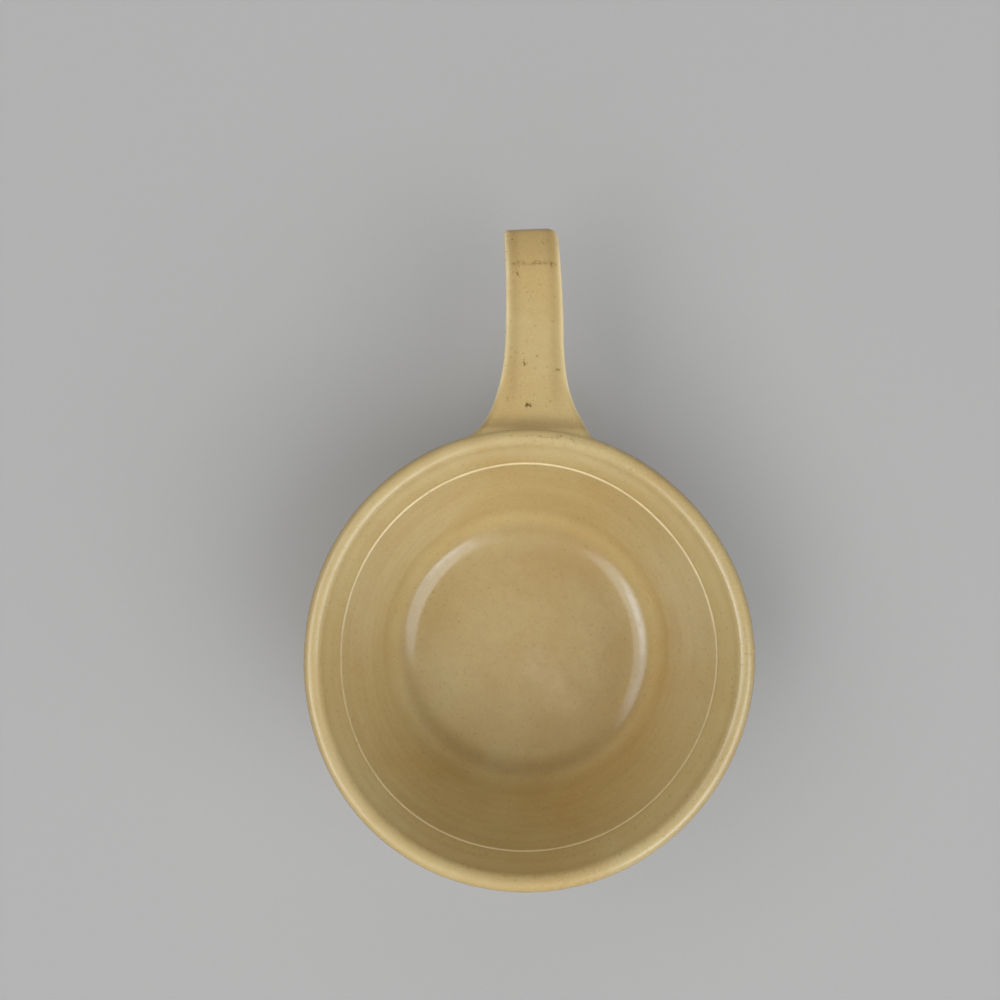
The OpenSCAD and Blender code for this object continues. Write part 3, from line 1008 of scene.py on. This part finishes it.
# A short dark crack in the lip's glaze before the handle: its radius from the bowl's axis, how
# far it wanders, its reach in x, and the y past which it lies
CRACK_R, CRACK_WANDER, CRACK_FROM, CRACK_TO, CRACK_PAST_Y = 61.5, 0.2, -3.0, 8.6, 50
# Thin scratches and hairlines in the lip's glaze, from, to, half width and depth of colour, and
# how far their lines are bent
SCRATCHES = (
    ((-58.8, -22.5), (-54.3, -24.1), 0.2, 0.3), ((-53.6, -33.9), (-49.2, -31.5), 0.2, 0.25),
    ((7.0, 62.0), (9.2, 61.4), 0.35, 0.5), ((10.6, 60.9), (12.9, 59.8), 0.4, 0.5),
    ((9.6, 58.9), (11.4, 58.7), 0.35, 0.45),
)
SCRATCH_BEND = 0.7
# All these marks lie on the lip and on the top of the handle, above this height
MARKS_FROM = 50.5
# Above this height the lip's crest is worn duller, and more so on its left
LIP_WORN_FROM, LIP_WORN_LEFT, LIP_WORN_RIGHT = 56.2, 0.14, 0.05
# A dull smear on the floor of the bowl: its ends, its half width, its strength and its height
SMEAR_FROM, SMEAR_TO, SMEAR_W, SMEAR, SMEAR_BELOW = (-1.0, 1.0), (19.0, -24.0), 6.5, 0.42, 20

# Patterns of noise, each by its scale in a metre, its detail, its roughness and its distortion
CLOUD = (28, 3, 0.6, 0.4)
MOTTLE = (260, 4, 0.65)
GRAIN = (1500, 3, 0.7)
DARK_GRAIN = (900, 2, 0.6)
EDGE_BREAKS = (120, 2)
SMEAR_CLOUD = (150, 3, 0.6)
ORANGE_PEEL = (420, 3, 0.6)
MARKS_BEND = (350, 2, 0.5)
MARKS_BREAK = (1300, 3, 0.6)
CLAY_CLOUD = (60, 3, 0.6)
CLAY_GRAIN = (1400, 4, 0.7)
# The glaze's fine specks: cells in a metre, and the random value above which a cell has a speck
SPECK_SCALE, SPECK_CHOSEN = 420.0, 0.80


def streak_share(m, x, y, start, end, width):
    """How near each point is, seen from above, to a straight mark from start to end."""
    length = math.dist(start, end)
    u, v = (end[0] - start[0]) / length, (end[1] - start[1]) / length
    dx = m.minus(x, start[0] * MM)
    dy = m.minus(y, start[1] * MM)
    run = m.plus(m.times(dx, u), m.times(dy, v))
    off = m.math("ABSOLUTE", m.minus(m.times(dx, v), m.times(dy, u)))
    soft = min(width, 0.3 * length)
    share = m.span(off, 0.2 * width * MM, width * MM, 1.0, 0.0)
    share = m.times(share, m.span(run, 0.0, soft * MM))
    return m.times(share, m.span(run, (length - soft) * MM, length * MM, 1.0, 0.0))


def pit_share(m, x, y, broken, pit):
    px, py, radius, depth = pit
    ragged = m.span(broken, 0.3, 0.7, -0.6 * radius * MM, 0.6 * radius * MM)
    away = m.plus(m.distance(x, y, px, py), ragged)
    return m.span(away, 0.25 * radius * MM, radius * MM, depth, 0.0)


def stain_share(m, x, y, bend, broken):
    sway = m.times(m.math("SINE", m.times(x, STAIN_TURNS)), STAIN_SWAY * MM)
    sway = m.plus(sway, m.span(bend, 0.3, 0.7, -0.4 * MM, 0.4 * MM))
    off = m.math("ABSOLUTE", m.minus(m.minus(y, STAIN_Y * MM), sway))
    share = m.span(off, 0.3 * STAIN_W * MM, STAIN_W * MM, 1.0, 0.0)
    share = m.times(share, m.span(broken, 0.34, 0.66, 0.06, 0.5))
    share = m.times(share, m.span(x, (STAIN_FROM - 1) * MM, STAIN_FROM * MM))
    return m.times(share, m.span(x, STAIN_TO * MM, (STAIN_TO + 1) * MM, 1.0, 0.0))


def cluster_share(m, x, y, broken, cluster):
    px, py, reach = cluster
    near = m.span(m.distance(x, y, px, py), 0.2 * reach * MM, 1.3 * reach * MM, 1.0, 0.0)
    return m.times(near, m.span(broken, 0.52, 0.62, 0.0, 0.7))


def crack_share(m, x, y, bend, broken):
    r = m.span(bend, 0.3, 0.7, (CRACK_R - CRACK_WANDER) * MM, (CRACK_R + CRACK_WANDER) * MM)
    off = m.math("ABSOLUTE", m.minus(m.distance(x, y), r))
    share = m.times(m.span(off, 0.03 * MM, 0.3 * MM, 1.0, 0.0), m.span(broken, 0.44, 0.62, 0.0, 0.45))
    share = m.times(share, m.math("GREATER_THAN", x, CRACK_FROM * MM))
    share = m.times(share, m.math("LESS_THAN", x, CRACK_TO * MM))
    return m.times(share, m.math("GREATER_THAN", y, CRACK_PAST_Y * MM))


def mark_shares(m, place):
    """How dark the small marks are at each point."""
    x, y, z = m.split(place)
    bend = m.noise(place, *MARKS_BEND)
    broken = m.noise(place, *MARKS_BREAK)
    bent = m.plus(x, m.span(bend, 0.3, 0.7, -SCRATCH_BEND * MM, SCRATCH_BEND * MM))
    total = m.most(stain_share(m, x, y, bend, broken), crack_share(m, x, y, bend, broken))
    for pit in PITS:
        total = m.most(total, pit_share(m, x, y, broken, pit))
    for cluster in TIP_SPECKS:
        total = m.most(total, cluster_share(m, x, y, broken, cluster))
    for start, end, width, depth in SCRATCHES:
        share = streak_share(m, bent, y, start, end, width)
        total = m.most(total, m.times(share, m.span(broken, 0.42, 0.62, 0.0, depth)))
    return m.times(total, m.math("GREATER_THAN", z, MARKS_FROM * MM), clamp=True)


def straw_tone(m, place, mottle):
    """The clouded straw colour of the glaze, with its fine light and dark grain."""
    cloud = m.noise(place, *CLOUD)
    grain = m.noise(place, *GRAIN)
    dark_grain = m.noise(place, *DARK_GRAIN)
    tone = m.blend(m.span(cloud, 0.25, 0.8), STRAW, HONEY)
    tone = m.blend(m.times(m.span(mottle, 0.42, 0.72), 0.16), tone, HONEY)
    tone = m.blend(m.times(m.span(grain, 0.5, 0.75), 0.22), tone, STRAW_LIGHT)
    return m.blend(m.times(m.span(dark_grain, 0.60, 0.76), 0.30), tone, UMBER)


def coat_tone(m, place, mottle, tone):
    """The coat's brown pools and painted shade, pale edges and painted highlights, smear and marks over
    the straw colour.
    """
    x, y, z = m.split(place)
    # Pool darkens with the glaze's own pools and with painted shade
    pool = m.times(m.attribute("pool"), m.span(mottle, 0.3, 0.6, 0.88, 1.05), clamp=True)
    tone = m.blend(m.times(pool, 0.6), tone, UMBER)
    # Edge lightens with the glaze's thin breaks and with painted highlights
    breaks = m.span(m.noise(place, *EDGE_BREAKS), 0.3, 0.6, 0.6, 1.0)
    edge = m.times(m.attribute("edge"), breaks, clamp=True)
    tone = m.blend(m.times(edge, 0.75), tone, CREAM)
    smear = streak_share(m, x, y, SMEAR_FROM, SMEAR_TO, SMEAR_W)
    smear = m.times(smear, m.math("LESS_THAN", z, SMEAR_BELOW * MM))
    smear = m.times(smear, m.span(m.noise(place, *SMEAR_CLOUD), 0.3, 0.7, 0.3 * SMEAR, SMEAR))
    tone = m.blend(smear, tone, HAZE)
    return m.blend(mark_shares(m, place), tone, PIT)


def with_specks(m, place, tone):
    inputs = {"Vector": place, "Scale": SPECK_SCALE, "Randomness": 1.0}
    cells = m.add("TexVoronoi", inputs, feature="F1").outputs
    picked = m.add("SeparateColor", {0: cells["Color"]}).outputs[0]
    dot = m.span(cells["Distance"], 0.06, 0.16, 1.0, 0.0)
    dot = m.times(dot, m.math("GREATER_THAN", picked, SPECK_CHOSEN))
    return m.blend(m.times(dot, 0.35), tone, STAIN)


def glaze_roughness(m, place, mottle):
    x, _, z = m.split(place)
    worn = m.span(x, -RIM_R / 2 * MM, RIM_R / 2 * MM, LIP_WORN_LEFT, LIP_WORN_RIGHT)
    on_crest = m.span(z, LIP_WORN_FROM * MM, BOWL_H * MM)
    return m.plus(m.span(mottle, 0.3, 0.7, 0.18, 0.26), m.times(worn, on_crest))


def glaze_material(name, on_coat=True):
    m = Nodes(name)
    place = m.add("TexCoord").outputs["Object"]
    mottle = m.noise(place, *MOTTLE)
    tone = straw_tone(m, place, mottle)
    if on_coat:
        tone = coat_tone(m, place, mottle, tone)
    peel = m.noise(place, *ORANGE_PEEL)
    fine = m.add("Bump", {"Strength": 0.10, "Distance": 0.0004, "Height": peel})
    shader = m.add("BsdfPrincipled", {
        "Base Color": with_specks(m, place, tone), "Roughness": glaze_roughness(m, place, mottle),
        "Specular IOR Level": 0.5, "IOR": 1.5, "Coat Weight": 0.25, "Coat Roughness": 0.1,
        "Normal": fine.outputs[0],
    })
    m.plug(m.output.inputs["Surface"], shader.outputs[0])
    return m.material


def clay_material(name, light, dark):
    m = Nodes(name)
    place = m.add("TexCoord").outputs["Object"]
    cloud = m.noise(place, *CLAY_CLOUD)
    grain = m.noise(place, *CLAY_GRAIN)
    tone = m.blend(m.span(cloud, 0.35, 0.7), light, dark)
    tone = m.blend(m.times(m.span(grain, 0.55, 0.75), 0.5), tone, UMBER)
    bump = m.add("Bump", {"Strength": 0.35, "Distance": 0.0003, "Height": grain})
    shader = m.add("BsdfPrincipled", {"Base Color": tone, "Roughness": 0.85, "Normal": bump.outputs[0]})
    m.plug(m.output.inputs["Surface"], shader.outputs[0])
    return m.material


def floor_material():
    m = Nodes("pale_floor")
    grey = colour(171, 172, 174)
    shader = m.add("BsdfPrincipled", {"Base Color": grey, "Roughness": 0.9, "Specular IOR Level": 0.2})
    m.plug(m.output.inputs["Surface"], shader.outputs[0])
    return m.material


# The object

glaze = glaze_material("straw_glaze")
base_finish = glaze_material("base_glaze", on_coat=False)
clay = clay_material("bare_clay", CLAY, CLAY_DARK)
slip = clay_material("dried_slip", SLIP, CLAY_DARK)
glaze_coat(glaze)
clay_bowl(clay)
clay_handle(clay)
root_slip(slip)
base_patch(base_finish)


# The stage: floor, lights and camera

def floor():
    mesh = bpy.data.meshes.new("floor")
    half = 3.0
    corners = [(-half, -half, 0), (half, -half, 0), (half, half, 0), (-half, half, 0)]
    mesh.from_pydata(corners, [], [(0, 1, 2, 3)])
    mesh.materials.append(floor_material())
    ground = bpy.data.objects.new("floor", mesh)
    bpy.context.scene.collection.objects.link(ground)


# Lights round the bowl, at a turn and a rise in degrees as seen from it, spread across and up
# and down in degrees, each with its own brightness. The washes light the surfaces. The windows,
# and the panes over them, are what the glaze reflects: a bright pane in each window, and a dim
# one that carries the left window further round. Each kind has its own distance, because a
# light right behind another would be hidden by it
WASH_DISTANCE, WINDOW_DISTANCE, PANE_DISTANCE = 6.0, 3.0, 2.8
PLAIN = (1.0, 1.0, 1.0)
COOL = (0.98, 1.0, 1.03)
MILD = (1.0, 0.985, 0.95)
WARM = (1.0, 0.945, 0.84)
WARMER = (1.0, 0.93, 0.78)
WINDOW = (0.86, 1.0, 1.18)
PANE = (0.84, 1.0, 1.2)
WASHES = (
    # name, turn, rise, across, high, brightness, colour
    ("wash_right", -27, 50, 74, 32, 1.45, MILD),
    ("wash_left", -172, 52, 96, 36, 1.8, WARM),
    ("wash_front_low", -90, 30, 50, 30, 1.3, PLAIN),
    ("wash_right_low", -30, 30, 50, 30, 1.95, MILD),
    ("wash_back_low", 90, 38, 60, 46, 0.5, WARMER),
    ("wash_front_left", -130, 55, 50, 40, 2.1, COOL),
    ("wash_front_right", -52, 55, 50, 40, 2.15, COOL),
    ("wash_over", -90, 86, 50, 50, 1.3, PLAIN),
)
WINDOWS = (
    ("window_right", -34, 50, 62, 38, 2.5, WINDOW),
    ("window_left", -162, 53, 80, 40, 1.75, WINDOW),
)
PANES = (
    ("pane_left", -160, 47, 42, 13, 4.0, PANE),
    ("pane_right", -52, 39, 26, 10, 3.0, PANE),
    ("pane_left_end", -200, 46, 30, 14, 1.5, WINDOW),
)
ROOM_LEVEL = 0.08


def light(away, glint, name, turn, rise, across, high, level, tint):
    """A soft elliptical light on a sphere round the bowl, facing it."""
    width = 2 * away * math.tan(math.radians(across / 2)) * math.cos(math.radians(min(rise, 60)))
    height = 2 * away * math.tan(math.radians(high / 2))
    lamp = bpy.data.lights.new(name, "AREA")
    lamp.shape = "ELLIPSE"
    lamp.size = width
    lamp.size_y = height
    lamp.energy = level * math.pi * math.pi / 4 * width * height
    lamp.color = tint
    holder = bpy.data.objects.new(name, lamp)
    a = math.radians(turn)
    e = math.radians(rise)
    holder.location = (
        away * math.cos(e) * math.cos(a),
        away * math.cos(e) * math.sin(a),
        away * math.sin(e),
    )
    holder.rotation_euler = (math.pi / 2 - e, 0, a + math.pi / 2)
    holder.visible_diffuse = not glint
    holder.visible_glossy = glint
    bpy.context.scene.collection.objects.link(holder)


def world(level):
    sky = bpy.data.worlds.new("room")
    sky.use_nodes = True
    background = sky.node_tree.nodes["Background"]
    background.inputs["Color"].default_value = (1.0, 1.0, 1.0, 1.0)
    background.inputs["Strength"].default_value = level
    bpy.context.scene.world = sky


# Where the photograph's camera stood, in millimetres and degrees
CAMERA_PLACE = (-5.45, 17.95, 337.2)
CAMERA_PITCH, CAMERA_SIDE, CAMERA_ROLL = 5.2, 0.5, 0.8


def camera():
    data = bpy.data.cameras.new("camera")
    data.sensor_width = 36
    data.lens = 36
    data.clip_start = 0.01
    eye = bpy.data.objects.new("camera", data)
    eye.location = [v * MM for v in CAMERA_PLACE]
    eye.rotation_euler = [math.radians(a) for a in (CAMERA_PITCH, CAMERA_SIDE, CAMERA_ROLL)]
    bpy.context.scene.collection.objects.link(eye)
    bpy.context.scene.camera = eye


floor()
for row in WASHES:
    light(WASH_DISTANCE, False, *row)
for row in WINDOWS:
    light(WINDOW_DISTANCE, True, *row)
for row in PANES:
    light(PANE_DISTANCE, True, *row)
world(ROOM_LEVEL)
camera()
bpy.context.scene.view_settings.view_transform = "Standard"
